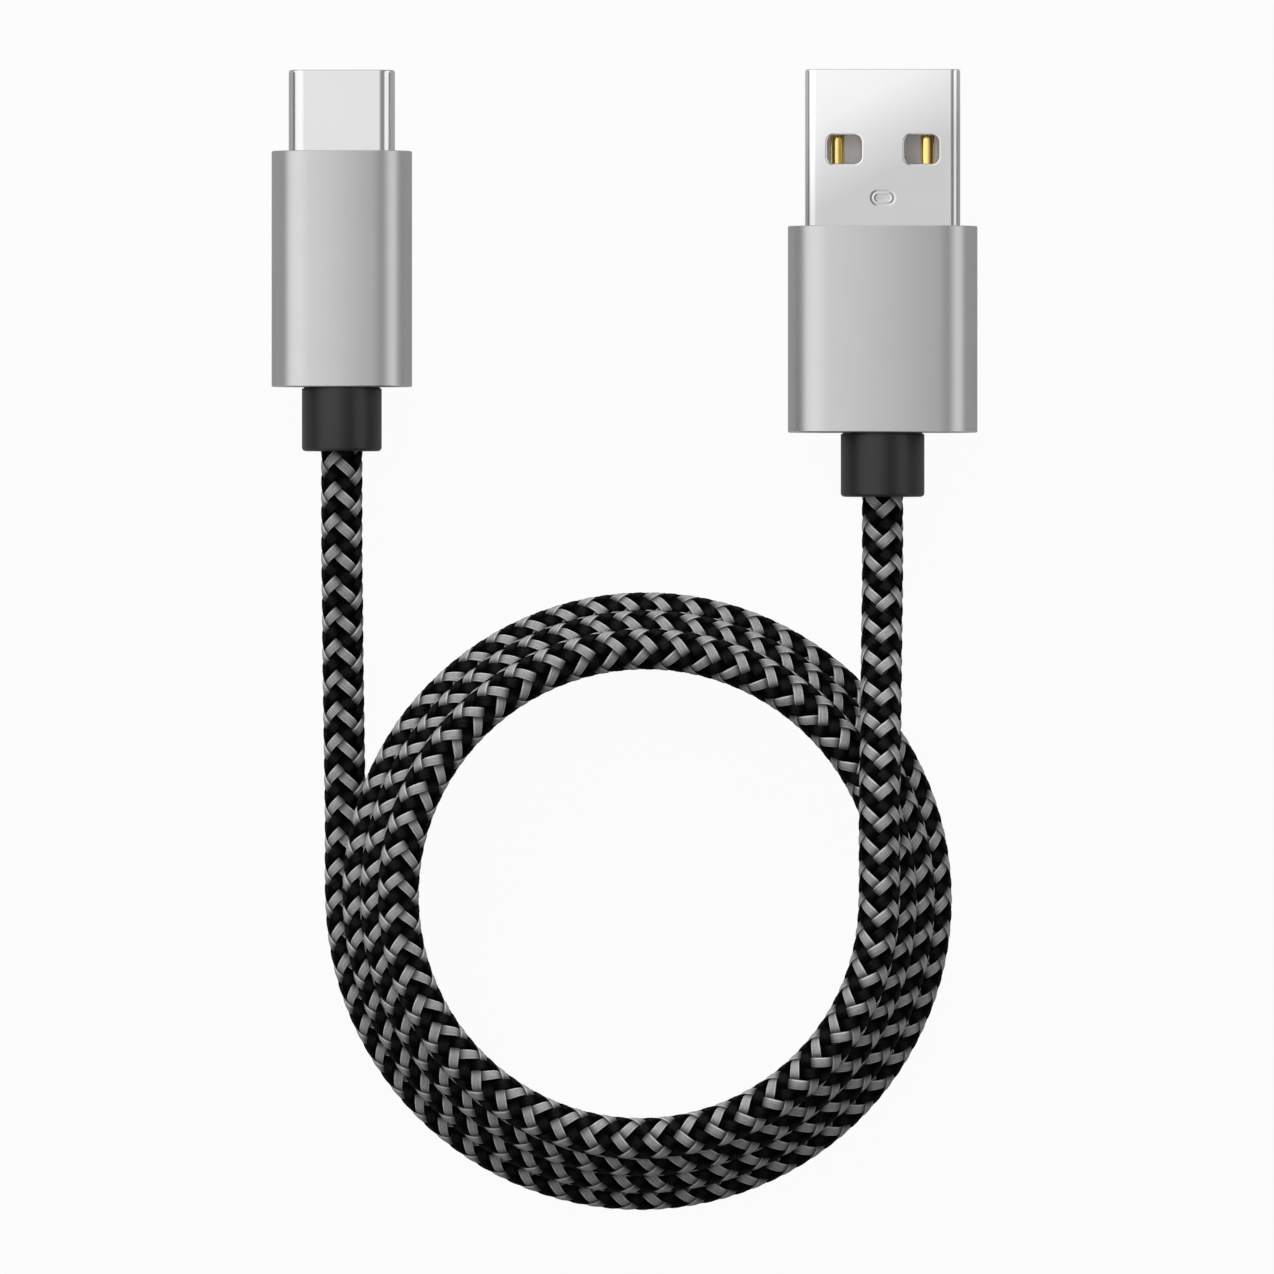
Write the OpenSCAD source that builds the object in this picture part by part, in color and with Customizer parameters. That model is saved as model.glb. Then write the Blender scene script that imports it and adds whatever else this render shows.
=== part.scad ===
// Braided charging cable with a USB-C plug and a USB-A plug, coiled and lying flat.
// x runs across the two plugs, y towards their tips and z up. The cable lies on z = 0,
// and the origin is the middle of the two plugs' outline on that surface.

/* [Cord] */
// Outer diameter of the braided cord
cord_d = 3.2; // [3.1:0.05:3.25]
// Radius of the coil's first and widest turn, to the middle of the cord
coil_r = 23.15; // [23.05:0.05:23.25]
// How far each turn lies inside the one below it
turn_in = 1.4; // [1.35:0.05:1.45]
// How far each turn lies above the one below it
turn_up = 3.05; // [3.0:0.05:3.2]
// Number of turns in the coil
coil_turns = 3.5; // [3.5]
// Extra rise of the last turn, where it crosses over the turn below
crossing_rise = 0.4; // [0.3:0.05:0.5]

/* [Plugs] */
// Distance between the axes of the two plugs
plug_spacing = 42; // [41.9:0.05:42.1]
// Diameter of one wire of the cord, over its insulation
wire_d = 0.9; // [0.7:0.05:0.95]
// Length of each strain relief that shows
relief_l = 5; // [4.8:0.1:5.2]

/* [USB-A plug] */
// Width of the steel shell
a_shell_w = 12; // [11.9:0.05:12.1]
// Height of the steel shell
a_shell_h = 4.5; // [4.4:0.05:4.6]
// Thickness of the shell's sheet
a_shell_t = 0.3; // [0.25:0.05:0.35]
// Length of the shell in front of the housing
a_shell_out = 12.15; // [12:0.05:12.3]
// Width of the aluminium housing
a_housing_w = 14.7; // [14.6:0.1:14.9]
// Height of the aluminium housing
a_housing_h = 7.6; // [7.5:0.1:7.8]
// Length of the aluminium housing
a_housing_l = 16; // [15.8:0.1:16.2]
// Diameter of the strain relief
a_relief_d = 6.5; // [6.2:0.1:6.8]

/* [USB-C plug] */
// Width of the steel shell
c_shell_w = 8.25; // [8.25:0.05:8.3]
// Height of the steel shell
c_shell_h = 2.4; // [2.4:0.02:2.44]
// Thickness of the shell's sheet
c_shell_t = 0.2; // [0.18:0.01:0.2]
// Length of the shell in front of the housing
c_shell_out = 6.3; // [6.2:0.05:6.4]
// Width of the aluminium housing
c_housing_w = 10.9; // [10.8:0.1:11.1]
// Height of the aluminium housing
c_housing_h = 6.5; // [6.4:0.1:6.6]
// Length of the aluminium housing
c_housing_l = 18.3; // [18.1:0.1:18.5]
// Diameter of the strain relief
c_relief_d = 6.2; // [6:0.1:6.3]

/* [Hidden] */

// Roundness of true circles, and the length by which a cut runs past a face
$fn = 64;
past = 1;

// Places of the two plugs: each axis, its height, and the front face of each housing
half_span = (plug_spacing + a_housing_w / 2 + c_housing_w / 2) / 2;
a_x = half_span - a_housing_w / 2;
c_x = -half_span + c_housing_w / 2;
a_z = a_housing_h / 2;
c_z = c_housing_h / 2;
tip_y = (a_shell_out + a_housing_l + relief_l) / 2;
a_front_y = tip_y - a_shell_out;
c_front_y = tip_y - c_shell_out;
a_cord_y = a_front_y - a_housing_l - relief_l;
c_cord_y = c_front_y - c_housing_l - relief_l;

// The coil: its middle, its rings per turn and its sides
coil_x = 1.45;
coil_y = -47.65;
coil_rings = 24;
coil_sides = 6;
// Share of each turn where it starts to climb onto the turn below, and where it is up
climb_from = 0.72;
climb_to = 0.96;
// Turn at which the last crossing starts to rise
crossing_from = 3.3;
// Straight length of cord at each end of the coil and of each lead
straight = cord_d;
lead_sides = 8;

function smooth(u) = let (v = min(max(u, 0), 1)) v * v * (3 - 2 * v);
function climb(t) = floor(t) + smooth((t - floor(t) - climb_from) / (climb_to - climb_from));
function crossing(t) = smooth((t - crossing_from) / (coil_turns - crossing_from));
function coil_height(t) = cord_d / 2 + turn_up * climb(t) + crossing_rise * crossing(t);
function coil_point(t) = [
    coil_x - (coil_r - turn_in * t) * cos(360 * t),
    coil_y - (coil_r - turn_in * t) * sin(360 * t),
    coil_height(t)
];
coil_start = coil_point(0) + [0, straight, 0];
coil_end = coil_point(coil_turns) + [0, straight, 0];
coil_route = [
    coil_start,
    for (i = [0 : coil_turns * coil_rings]) coil_point(i / coil_rings),
    coil_end
];

// Free lead from the USB-C plug, down to the surface and along it to the coil
lead_c_route = [
    [c_x, c_cord_y, c_z],
    [c_x, c_cord_y - straight, c_z],
    [-21.95, -19.4, 3.1],
    [-21.95, -22.4, 2.7],
    [-21.9, -25.4, 2.15],
    [-21.9, -28.4, 1.75],
    [-21.85, -31.6, 1.6],
    [-21.8, -35, 1.6],
    [-21.75, -38.2, 1.6],
    [-21.7, -41.4, 1.6],
    coil_start
];
// Free lead from the top of the coil, over the turns below it and down to the USB-A plug
lead_a_route = [
    coil_end,
    coil_end + [0, straight, 0],
    [19.75, -38.6, 10.8],
    [19.8, -36, 9.9],
    [19.85, -33.4, 8.6],
    [19.9, -30.8, 7.1],
    [19.95, -28.2, 5.7],
    [20, -25.6, 4.6],
    [20.05, -22.8, 3.95],
    [a_x, a_cord_y - straight, a_z],
    [a_x, a_cord_y, a_z]
];

// A tube swept along a route: the direction at a ring, the ring's points and the solid
function unit(v) = v / norm(v);
function heading(route, i) =
    i == 0 ? unit(route[1] - route[0]) :
    i == len(route) - 1 ? unit(route[i] - route[i - 1]) :
    unit(unit(route[i + 1] - route[i]) + unit(route[i] - route[i - 1]));
function ring(route, i, d, sides, turned) =
    let (ahead = heading(route, i))
    let (side = unit(cross(ahead, [0, 0, 1])))
    let (up = cross(side, ahead))
    [for (k = [0 : sides - 1])
        let (angle = turned + 360 * k / sides)
        route[i] + d / 2 * (cos(angle) * side + sin(angle) * up)];
function rings(route, d, sides, turned) =
    [for (i = [0 : len(route) - 1]) ring(route, i, d, sides, turned)];
function route_length(route, i = 1) =
    i == len(route) ? 0 : norm(route[i] - route[i - 1]) + route_length(route, i + 1);

module tube(route, d, sides, turned) {
    last = sides * (len(route) - 1);
    polyhedron(
        points = [for (one = rings(route, d, sides, turned)) each one],
        faces = [
            for (k = [1 : sides - 2]) [0, k + 1, k],
            for (k = [1 : sides - 2]) [last, last + k, last + k + 1],
            for (i = [0 : len(route) - 2], k = [0 : sides - 1])
                let (a = i * sides + k, b = i * sides + (k + 1) % sides)
                each [[a, b, b + sides], [a, b + sides, a + sides]]
        ]
    );
}

// The flat sides of neighbouring turns face each other. The least gap between turns is
// measured from the points of each ring to those of every ring at least apart_rings away.
coil_turned = atan(turn_in / turn_up);
coil_surface = rings(coil_route, cord_d, coil_sides, coil_turned);
apart_rings = 8;
least_gap = min([
    for (i = [0 : len(coil_surface) - 1 - apart_rings])
        for (j = [i + apart_rings : len(coil_surface) - 1])
            if (norm(coil_route[i] - coil_route[j]) < 2 * cord_d)
                for (p = coil_surface[i], q = coil_surface[j]) norm(p - q)
]);
echo(least_gap_of_coil_to_itself = least_gap);
echo(cord_length = route_length(lead_c_route) + route_length(coil_route) + route_length(lead_a_route));

module cord_coil() {
    color("dimgray") tube(coil_route, cord_d, coil_sides, coil_turned);
}

module cord_lead(route) {
    color("dimgray") tube(route, cord_d, lead_sides, 180 / lead_sides);
}

// Flat outlines, and solids that run along y
module rounded(w, h, r) {
    square([w - 2 * r, h], center = true);
    square([w, h - 2 * r], center = true);
    for (x = [-1, 1], y = [-1, 1]) translate([x * (w / 2 - r), y * (h / 2 - r)]) circle(r);
}

module racetrack(w, h) {
    square([w - h, h], center = true);
    for (x = [-1, 1]) translate([x * (w - h) / 2, 0]) circle(h / 2);
}

module along_y(from, to) {
    translate([0, to, 0]) rotate([90, 0, 0]) linear_extrude(to - from) children();
}

module bar(x, y, z) {
    translate([x[0], y[0], z[0]]) cube([x[1] - x[0], y[1] - y[0], z[1] - z[0]]);
}

module at_usb_a() {
    translate([a_x, a_front_y, a_z]) children();
}

module at_usb_c() {
    translate([c_x, c_front_y, c_z]) children();
}

// Parts that both plugs have, in the plug's own frame: y = 0 is the housing's front face
housing_t = 0.7;
housing_r = 3;
mould_gap = 0.05;
mould_recess = 0.3;
bore_gap = 0.05;
// The strain relief's chamfered edge, and its neck in the housing's open end
relief_edge = 0.35;
relief_neck_r = 2.45;
relief_neck_l = mould_recess;
// Length of cord inside the housing, up to where its wires come out
cord_end_l = 4;

function cord_end_y(l) = -l + cord_end_l;

module housing(w, h, l) {
    color("darkgray") difference() {
        along_y(-l, 0) rounded(w, h, housing_r);
        along_y(-l - past, past)
            rounded(w - 2 * housing_t, h - 2 * housing_t, housing_r - housing_t);
    }
}

module mould_body(w, h, l) {
    inner_w = w - 2 * (housing_t + mould_gap);
    inner_h = h - 2 * (housing_t + mould_gap);
    along_y(-l + mould_recess, -mould_recess)
        rounded(inner_w, inner_h, housing_r - housing_t - mould_gap);
}

module cord_bore(l) {
    along_y(-l - relief_l - past, cord_end_y(l) + past) circle(cord_d / 2 + bore_gap);
}

module cord_end(l) {
    color("dimgray") along_y(-l - relief_l, cord_end_y(l)) circle(cord_d / 2);
}

module strain_relief(d, l) {
    color([0.1, 0.1, 0.1]) difference() {
        translate([0, -l, 0]) rotate([90, 0, 0]) rotate_extrude() polygon([
            [0, -relief_neck_l],
            [relief_neck_r, -relief_neck_l],
            [relief_neck_r, 0],
            [d / 2 - relief_edge, 0],
            [d / 2, relief_edge],
            [d / 2, relief_l - relief_edge],
            [d / 2 - relief_edge, relief_l],
            [0, relief_l]
        ]);
        cord_bore(l);
    }
}

// A wire from its solder joint to its place in the cord's end, straight for a short way at
// both. The cores lie in a square around the cord's axis.
core_place = 0.5;
wire_straight = 0.8;
wire_sides = 6;

module wire(joint, core, l) {
    core_end = [core[0] * core_place, cord_end_y(l), core[1] * core_place];
    joint_out = joint - [0, wire_straight, 0];
    core_out = core_end + [0, wire_straight, 0];
    tube([joint, joint_out, (joint_out + core_out) / 2, core_out, core_end],
        wire_d, wire_sides, 0);
}

// USB-A plug
a_shell_in = 6.5;
a_shell_r = 0.75;
a_window = [2.7, 2.35];
a_window_r = 0.6;
a_window_x = 3;
a_window_y = 6;
a_dimple = [2.05, 1.3];
a_dimple_y = 2.3;
a_dimple_deep = 0.15;
a_seam = 0.1;

module usb_a_shell() {
    color("silver") difference() {
        along_y(-a_shell_in, a_shell_out) rounded(a_shell_w, a_shell_h, a_shell_r);
        along_y(-a_shell_in - past, a_shell_out + past)
            rounded(a_shell_w - 2 * a_shell_t, a_shell_h - 2 * a_shell_t, a_shell_r - a_shell_t);
        for (x = [-a_window_x, a_window_x])
            translate([x, a_window_y, -a_shell_h])
                linear_extrude(2 * a_shell_h) rounded(a_window[0], a_window[1], a_window_r);
        translate([0, a_dimple_y, a_shell_h / 2 - a_dimple_deep])
            linear_extrude(past) racetrack(a_dimple[0], a_dimple[1]);
        bar([-a_seam / 2, a_seam / 2], [-a_shell_in - past, a_shell_out + past],
            [-a_shell_h / 2 - past, -a_shell_h / 2 + a_shell_t + a_seam]);
    }
}

a_fit = 0.03;
a_insulator_in = 6;
a_block_front = 0.5;
a_tongue_y = 11.6;
a_tongue_z = -0.05;
a_contact_w = 1;
a_contact_t = 0.2;
a_contact_gap = 0.02;
a_contact_tail = -8;
// Middle of each contact, and the front end of each: VBUS, D-, D+ and GND
a_contact_x = [-3.5, -1, 1, 3.5];
a_contact_y = [10.9, 9.9, 9.9, 10.9];

module usb_a_insulator() {
    color("gainsboro") difference() {
        intersection() {
            along_y(-a_insulator_in, a_tongue_y) rounded(
                a_shell_w - 2 * (a_shell_t + a_fit),
                a_shell_h - 2 * (a_shell_t + a_fit),
                a_shell_r - a_shell_t - a_fit
            );
            union() {
                bar([-a_shell_w, a_shell_w], [-a_insulator_in, a_block_front],
                    [-a_shell_h, a_shell_h]);
                bar([-a_shell_w, a_shell_w], [-a_insulator_in, a_tongue_y],
                    [-a_shell_h, a_tongue_z]);
            }
        }
        for (i = [0 : 3]) {
            half = a_contact_w / 2 + a_contact_gap;
            bar([a_contact_x[i] - half, a_contact_x[i] + half],
                [-a_insulator_in - past, a_contact_y[i] + a_contact_gap],
                [a_tongue_z - a_contact_t - a_contact_gap, a_tongue_z + a_contact_gap]);
        }
    }
}

module usb_a_contact(i) {
    color("gold") bar(
        [a_contact_x[i] - a_contact_w / 2, a_contact_x[i] + a_contact_w / 2],
        [a_contact_tail, a_contact_y[i]],
        [a_tongue_z - a_contact_t, a_tongue_z]
    );
}

a_can = [12.7, 5];
a_can_r = 0.9;
a_can_t = 0.2;
a_can_y = [-13, -3];

module usb_a_shield_can() {
    color("silver") difference() {
        along_y(a_can_y[0], a_can_y[1]) rounded(a_can[0], a_can[1], a_can_r);
        along_y(a_can_y[0] + a_can_t, a_can_y[1] + past)
            rounded(a_can[0] - 2 * a_can_t, a_can[1] - 2 * a_can_t, a_can_r - a_can_t);
        cord_bore(a_housing_l);
    }
}

module usb_a_inner_mould() {
    color([0.16, 0.16, 0.16]) difference() {
        mould_body(a_housing_w, a_housing_h, a_housing_l);
        along_y(a_can_y[1] - past, past)
            rounded(a_shell_w + 2 * mould_gap, a_shell_h + 2 * mould_gap, a_shell_r);
        along_y(a_can_y[0] - mould_gap, a_can_y[1] + mould_gap)
            rounded(a_can[0] + 2 * mould_gap, a_can[1] + 2 * mould_gap, a_can_r);
        cord_bore(a_housing_l);
    }
}

// Solder joints on the tails of the contacts, and each wire's core in the cord
a_wire_z = a_tongue_z + wire_d / 2;
a_wire_y = -6.7;
a_core = [[-1, 1], [-1, -1], [1, -1], [1, 1]];

module usb_a_wire(i, shade) {
    color(shade) wire([a_contact_x[i], a_wire_y, a_wire_z], a_core[i], a_housing_l);
}

// USB-C plug
c_shell_in = 4;

module usb_c_shell() {
    color("silver") difference() {
        along_y(-c_shell_in, c_shell_out) racetrack(c_shell_w, c_shell_h);
        along_y(-c_shell_in - past, c_shell_out + past)
            racetrack(c_shell_w - 2 * c_shell_t, c_shell_h - 2 * c_shell_t);
    }
}

c_fit = 0.02;
c_insulator_y = [-4.2, 5.7];
c_slot_y = 0.3;
c_slot_half = 0.45;
c_latch_slot_x = 3.25;
c_latch_slot_y = -3.3;
c_contact_pitch = 0.5;
c_contact_w = 0.25;
c_contact_z = [0.4, 0.55];
c_contact_y = [-5.8, 4.3];
c_contact_gap = 0.03;
c_bump_y = 3.85;
c_bump_r = 0.25;
// Places in each row, counted from the middle, that carry a contact
c_upper_places = [-5.5, -2.5, -1.5, -0.5, 0.5, 2.5, 5.5];
c_lower_places = [-5.5, -2.5, 1.5, 2.5, 5.5];
// Ground springs: a thin plate in the mouth, above and below, with four low fingers
c_spring = [5.8, 1, 0.1];
c_spring_y = 4.6;
c_spring_z = 0.46;
c_finger_x = [-2.1, -0.7, 0.7, 2.1];
c_finger = [0.6, 0.5, 0.12];
c_finger_y = 4.8;
c_finger_z = 0.36;

module c_contact_cut(place, face) {
    half = c_contact_w / 2 + c_contact_gap;
    x = place * c_contact_pitch;
    z = face * (c_contact_z[0] + c_contact_z[1]) / 2;
    reach = (c_contact_z[1] - c_contact_z[0]) / 2 + c_contact_gap;
    bar([x - half, x + half], [c_insulator_y[0] - past, c_contact_y[1] + c_contact_gap],
        [z - reach, z + reach]);
}

module usb_c_insulator() {
    spring_cut_z = [0, c_spring_z + c_spring[2] + c_contact_gap];
    color([0.08, 0.08, 0.08]) difference() {
        along_y(c_insulator_y[0], c_insulator_y[1]) racetrack(
            c_shell_w - 2 * (c_shell_t + c_fit),
            c_shell_h - 2 * (c_shell_t + c_fit)
        );
        bar([-c_shell_w, c_shell_w], [c_slot_y, c_shell_out + past], [-c_slot_half, c_slot_half]);
        for (side = [0, 1]) mirror([side, 0, 0])
            bar([c_latch_slot_x, c_shell_w], [c_latch_slot_y, c_slot_y + past],
                [-c_slot_half, c_slot_half]);
        for (place = c_upper_places) c_contact_cut(place, 1);
        for (place = c_lower_places) c_contact_cut(place, -1);
        for (side = [0, 1]) mirror([0, 0, side])
            bar([-c_spring[0] / 2 - c_contact_gap, c_spring[0] / 2 + c_contact_gap],
                [c_spring_y - c_contact_gap, c_insulator_y[1] + past], spring_cut_z);
    }
}

module usb_c_contact(place) {
    x = place * c_contact_pitch;
    bar([x - c_contact_w / 2, x + c_contact_w / 2], c_contact_y, c_contact_z);
    intersection() {
        translate([x - c_contact_w / 2, c_bump_y, c_contact_z[1]])
            rotate([0, 90, 0]) cylinder(h = c_contact_w, r = c_bump_r);
        bar([x - past, x + past], [c_contact_y[0], c_contact_y[1]],
            [0, (c_contact_z[0] + c_contact_z[1]) / 2]);
    }
}

module usb_c_contacts_upper() {
    color("gold") for (place = c_upper_places) usb_c_contact(place);
}

module usb_c_contacts_lower() {
    color("gold") mirror([0, 0, 1]) for (place = c_lower_places) usb_c_contact(place);
}

module usb_c_ground_spring() {
    color("silver") {
        bar([-c_spring[0] / 2, c_spring[0] / 2], [c_spring_y, c_spring_y + c_spring[1]],
            [c_spring_z, c_spring_z + c_spring[2]]);
        for (x = c_finger_x)
            bar([x - c_finger[0] / 2, x + c_finger[0] / 2],
                [c_finger_y, c_finger_y + c_finger[1]],
                [c_finger_z, c_finger_z + c_finger[2]]);
    }
}

// Latch arm on the +x side: a root block, a straight spring arm and a hook near its tip
c_latch_half = 0.37;
c_root_x = [3.3, 3.75];
c_root_y = [-3.1, -2.3];
c_arm_x = [3.4, 3.6];
c_arm_tip_y = 4.9;
c_hook_x = 3.1;
c_hook_y = [3.8, 4.2, 4.5];

module usb_c_latch() {
    color("silver") translate([0, 0, -c_latch_half]) linear_extrude(2 * c_latch_half) polygon([
        [c_root_x[0], c_root_y[0]],
        [c_root_x[1], c_root_y[0]],
        [c_root_x[1], c_root_y[1]],
        [c_arm_x[1], c_root_y[1]],
        [c_arm_x[1], c_arm_tip_y],
        [c_arm_x[0], c_arm_tip_y],
        [c_hook_x, c_hook_y[2]],
        [c_hook_x, c_hook_y[1]],
        [c_arm_x[0], c_hook_y[0]],
        [c_arm_x[0], c_root_y[1]],
        [c_root_x[0], c_root_y[1]]
    ]);
}

c_board = [7.6, 0.8];
c_board_y = [-11.4, -4.25];

module usb_c_circuit_board() {
    color("darkgreen") bar([-c_board[0] / 2, c_board[0] / 2], c_board_y,
        [-c_board[1] / 2, c_board[1] / 2]);
}

// Chip resistor on the board's upper face, which tells the device what the charger gives
c_resistor = [1, 0.5, 0.35];
c_resistor_x = 1.4;
c_resistor_y = -7.7;

module usb_c_resistor() {
    color("black") bar([c_resistor_x, c_resistor_x + c_resistor[0]],
        [c_resistor_y, c_resistor_y + c_resistor[1]],
        [c_board[1] / 2, c_board[1] / 2 + c_resistor[2]]);
}

c_can = [8.9, 3.4];
c_can_r = 0.9;
c_can_t = 0.2;
c_can_y = [-15, -3];

module usb_c_shield_can() {
    color("silver") difference() {
        along_y(c_can_y[0], c_can_y[1]) rounded(c_can[0], c_can[1], c_can_r);
        along_y(c_can_y[0] + c_can_t, c_can_y[1] + past)
            rounded(c_can[0] - 2 * c_can_t, c_can[1] - 2 * c_can_t, c_can_r - c_can_t);
        cord_bore(c_housing_l);
    }
}

module usb_c_inner_mould() {
    color([0.16, 0.16, 0.16]) difference() {
        mould_body(c_housing_w, c_housing_h, c_housing_l);
        along_y(c_can_y[1] - past, past)
            racetrack(c_shell_w + 2 * mould_gap, c_shell_h + 2 * mould_gap);
        along_y(c_can_y[0] - mould_gap, c_can_y[1] + mould_gap)
            rounded(c_can[0] + 2 * mould_gap, c_can[1] + 2 * mould_gap, c_can_r);
        cord_bore(c_housing_l);
    }
}

// Solder joints: two wires on the board's upper face and two on its lower face
c_wire_z = c_board[1] / 2 + wire_d / 2;
c_wire_y = -10.2;
c_wire_x = 1.6;
c_core = [[-1, 1], [1, -1], [-1, -1], [1, 1]];

module usb_c_wire(i, shade) {
    core = c_core[i];
    color(shade) wire([core[0] * c_wire_x, c_wire_y, core[1] * c_wire_z], core, c_housing_l);
}

cord_coil();
cord_lead(lead_a_route);  // cord_lead_usb_a
cord_lead(lead_c_route);  // cord_lead_usb_c
at_usb_a() usb_a_shell();
at_usb_a() usb_a_insulator();
at_usb_a() usb_a_contact(0);  // usb_a_contact_vbus
at_usb_a() usb_a_contact(1);  // usb_a_contact_d_minus
at_usb_a() usb_a_contact(2);  // usb_a_contact_d_plus
at_usb_a() usb_a_contact(3);  // usb_a_contact_gnd
at_usb_a() usb_a_shield_can();
at_usb_a() usb_a_inner_mould();
at_usb_a() housing(a_housing_w, a_housing_h, a_housing_l);  // usb_a_housing
at_usb_a() strain_relief(a_relief_d, a_housing_l);  // usb_a_strain_relief
at_usb_a() cord_end(a_housing_l);  // usb_a_cord_end
at_usb_a() usb_a_wire(0, "red");  // usb_a_wire_vbus
at_usb_a() usb_a_wire(1, "white");  // usb_a_wire_d_minus
at_usb_a() usb_a_wire(2, "green");  // usb_a_wire_d_plus
at_usb_a() usb_a_wire(3, "black");  // usb_a_wire_gnd
at_usb_c() usb_c_shell();
at_usb_c() usb_c_insulator();
at_usb_c() usb_c_contacts_upper();
at_usb_c() usb_c_contacts_lower();
at_usb_c() usb_c_ground_spring();  // usb_c_ground_spring_upper
at_usb_c() mirror([0, 0, 1]) usb_c_ground_spring();  // usb_c_ground_spring_lower
at_usb_c() mirror([1, 0, 0]) usb_c_latch();  // usb_c_latch_left
at_usb_c() usb_c_latch();  // usb_c_latch_right
at_usb_c() usb_c_circuit_board();
at_usb_c() usb_c_resistor();
at_usb_c() usb_c_shield_can();
at_usb_c() usb_c_inner_mould();
at_usb_c() housing(c_housing_w, c_housing_h, c_housing_l);  // usb_c_housing
at_usb_c() strain_relief(c_relief_d, c_housing_l);  // usb_c_strain_relief
at_usb_c() cord_end(c_housing_l);  // usb_c_cord_end
at_usb_c() usb_c_wire(0, "red");  // usb_c_wire_vbus
at_usb_c() usb_c_wire(1, "white");  // usb_c_wire_d_minus
at_usb_c() usb_c_wire(2, "green");  // usb_c_wire_d_plus
at_usb_c() usb_c_wire(3, "black");  // usb_c_wire_gnd
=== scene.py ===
"""Braided USB-C to USB-A charging cable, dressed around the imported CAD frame.

Lengths are written in millimetres and turned into metres by MM where they enter Blender.
x runs across the plugs, y towards their tips and z up.
"""
import math

import bmesh
import bpy
import numpy as np
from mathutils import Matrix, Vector
from mathutils.geometry import delaunay_2d_cdt


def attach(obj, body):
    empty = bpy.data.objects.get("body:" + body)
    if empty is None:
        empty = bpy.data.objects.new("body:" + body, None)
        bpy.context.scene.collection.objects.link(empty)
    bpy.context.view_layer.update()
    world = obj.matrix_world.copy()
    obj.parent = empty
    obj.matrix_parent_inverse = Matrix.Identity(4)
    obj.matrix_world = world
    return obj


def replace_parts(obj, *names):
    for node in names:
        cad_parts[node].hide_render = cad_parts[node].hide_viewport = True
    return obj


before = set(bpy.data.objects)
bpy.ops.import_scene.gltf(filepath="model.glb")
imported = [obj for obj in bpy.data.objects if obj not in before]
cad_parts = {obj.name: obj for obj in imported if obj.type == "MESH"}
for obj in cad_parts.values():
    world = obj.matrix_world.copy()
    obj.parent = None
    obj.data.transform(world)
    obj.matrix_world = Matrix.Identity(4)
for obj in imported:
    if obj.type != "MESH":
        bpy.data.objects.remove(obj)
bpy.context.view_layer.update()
MM = 0.001
BODY = "cable"

# Places of the plugs, at the middle of each housing's front, as in the CAD
A_X, A_FRONT_Y, A_Z = 20.05, 4.425, 3.8
C_X, C_FRONT_Y, C_Z = -21.95, 10.275, 3.25
# Width, height and length of each housing
A_HOUSING = (14.7, 7.6, 16.0)
C_HOUSING = (10.9, 6.5, 18.3)
RELIEF_L, A_RELIEF_D, C_RELIEF_D = 5.0, 6.5, 6.2
# Where the cord leaves each strain relief
A_CORD_Y = A_FRONT_Y - A_HOUSING[2] - RELIEF_L
C_CORD_Y = C_FRONT_Y - C_HOUSING[2] - RELIEF_L


# ---------------------------------------------------------------- shader nodes

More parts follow.
